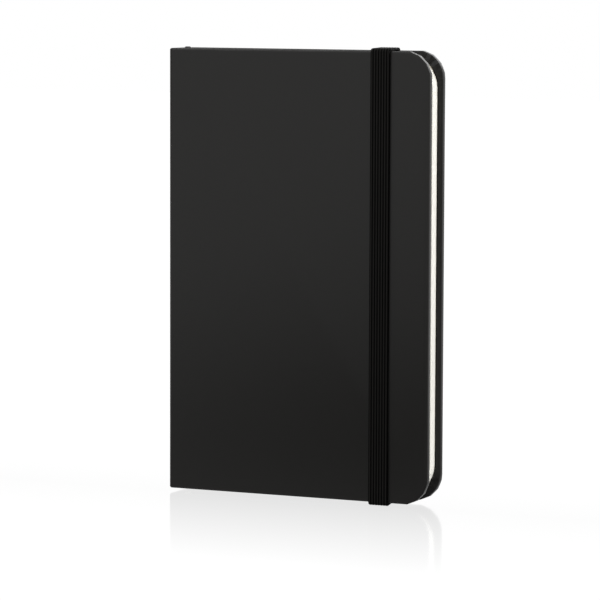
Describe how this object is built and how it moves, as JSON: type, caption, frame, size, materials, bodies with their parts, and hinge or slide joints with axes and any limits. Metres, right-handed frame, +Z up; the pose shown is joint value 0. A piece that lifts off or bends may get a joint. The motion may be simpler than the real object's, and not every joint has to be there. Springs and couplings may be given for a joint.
{
  "type": "pocket notebook",
  "caption": "Hard-cover pocket notebook with sewn pages, round fore-edge corners, ribbon bookmark and a ribbed elastic band that holds it shut.",
  "frame": {"origin": "under the middle of the bounding box, on the surface that the standing notebook rests on", "axes": "+Z up the spine from tail to head, -Y out of the front cover, -X out of the spine, +X out of the fore edge"},
  "size_m": [0.089, 0.0148, 0.1418],
  "materials": {
    "leatherette_skin": "smooth black polyurethane leatherette, soft sheen",
    "greyboard": "bare greyboard",
    "endpaper": "heavy cream endpaper, plain",
    "page_paper": "cream writing paper, ivory",
    "spine_gauze": "open cotton gauze stiffened with glue",
    "linen_thread": "waxed linen thread",
    "band_cloth": "woven black cotton",
    "ribbon_satin": "dark grey satin ribbon",
    "elastic_weave": "black ribbed elastic webbing"
  },
  "bodies": {
    "book_block": {"spine_skin": "leatherette_skin", "spine_strip": "greyboard", "spine_lining": "spine_gauze", "sewing_thread_1": "linen_thread", "sewing_thread_2": "linen_thread", "sewing_thread_3": "linen_thread", "sewing_thread_4": "linen_thread", "head_band": "band_cloth", "tail_band": "band_cloth", "ribbon_bookmark": "ribbon_satin", "back_flyleaf": "endpaper", "gathering_06": "page_paper", "gathering_07": "page_paper", "gathering_08": "page_paper", "gathering_09": "page_paper", "gathering_10": "page_paper"},
    "front_cover": {"front_board": "greyboard", "front_cover_skin": "leatherette_skin", "front_pastedown": "endpaper"},
    "back_cover": {"back_board": "greyboard", "back_cover_skin": "leatherette_skin", "back_pastedown": "endpaper", "elastic_head_anchor": "elastic_weave", "elastic_tail_anchor": "elastic_weave"},
    "elastic_band": {"elastic_front_run": "elastic_weave", "elastic_head_run": "elastic_weave", "elastic_tail_run": "elastic_weave"},
    "front_leaf": {"front_flyleaf": "endpaper"},
    "leaf_gathering_01": {"gathering_01": "page_paper"},
    "leaf_gathering_02": {"gathering_02": "page_paper"},
    "leaf_gathering_03": {"gathering_03": "page_paper"},
    "leaf_gathering_04": {"gathering_04": "page_paper"},
    "leaf_gathering_05": {"gathering_05": "page_paper"}
  },
  "joints": [
    {"name": "front_cover_hinge", "type": "hinge", "parent": "book_block", "child": "front_cover", "pos_m": [-0.0442, -0.00602, 0.0009], "axis": [0, 0, -1], "range_deg": [0, 180]},
    {"name": "back_cover_hinge", "type": "hinge", "parent": "book_block", "child": "back_cover", "pos_m": [-0.0442, 0.00602, 0.0009], "axis": [0, 0, 1], "range_deg": [0, 180]},
    {"name": "elastic_pull_off", "type": "slide", "parent": "back_cover", "child": "elastic_band", "axis": [1, 0, 0], "range_m": [0, 0.024], "stiffness_N_per_m": 60, "deforming": ["elastic_head_run", "elastic_tail_run", "elastic_front_run"]},
    {"name": "front_flyleaf_turn", "type": "hinge", "parent": "book_block", "child": "front_leaf", "pos_m": [-0.0442, -0.00602, 0.0009], "axis": [0, 0, -1], "range_deg": [0, 173]},
    {"name": "gathering_01_turn", "type": "hinge", "parent": "book_block", "child": "leaf_gathering_01", "pos_m": [-0.0442, -0.00602, 0.0009], "axis": [0, 0, -1], "range_deg": [0, 165.9]},
    {"name": "gathering_02_turn", "type": "hinge", "parent": "book_block", "child": "leaf_gathering_02", "pos_m": [-0.0442, -0.00602, 0.0009], "axis": [0, 0, -1], "range_deg": [0, 158.7]},
    {"name": "gathering_03_turn", "type": "hinge", "parent": "book_block", "child": "leaf_gathering_03", "pos_m": [-0.0442, -0.00602, 0.0009], "axis": [0, 0, -1], "range_deg": [0, 151.5]},
    {"name": "gathering_04_turn", "type": "hinge", "parent": "book_block", "child": "leaf_gathering_04", "pos_m": [-0.0442, -0.00602, 0.0009], "axis": [0, 0, -1], "range_deg": [0, 144.3]},
    {"name": "gathering_05_turn", "type": "hinge", "parent": "book_block", "child": "leaf_gathering_05", "pos_m": [-0.0442, -0.00602, 0.0009], "axis": [0, 0, -1], "range_deg": [0, 137.1]}
  ],
  "couplings": [
    {"joint": "front_flyleaf_turn", "follows": "front_cover_hinge", "ratio": 0.96},
    {"joint": "gathering_01_turn", "follows": "front_cover_hinge", "ratio": 0.92},
    {"joint": "gathering_02_turn", "follows": "front_cover_hinge", "ratio": 0.88},
    {"joint": "gathering_03_turn", "follows": "front_cover_hinge", "ratio": 0.84},
    {"joint": "gathering_04_turn", "follows": "front_cover_hinge", "ratio": 0.8},
    {"joint": "gathering_05_turn", "follows": "front_cover_hinge", "ratio": 0.76}
  ]
}
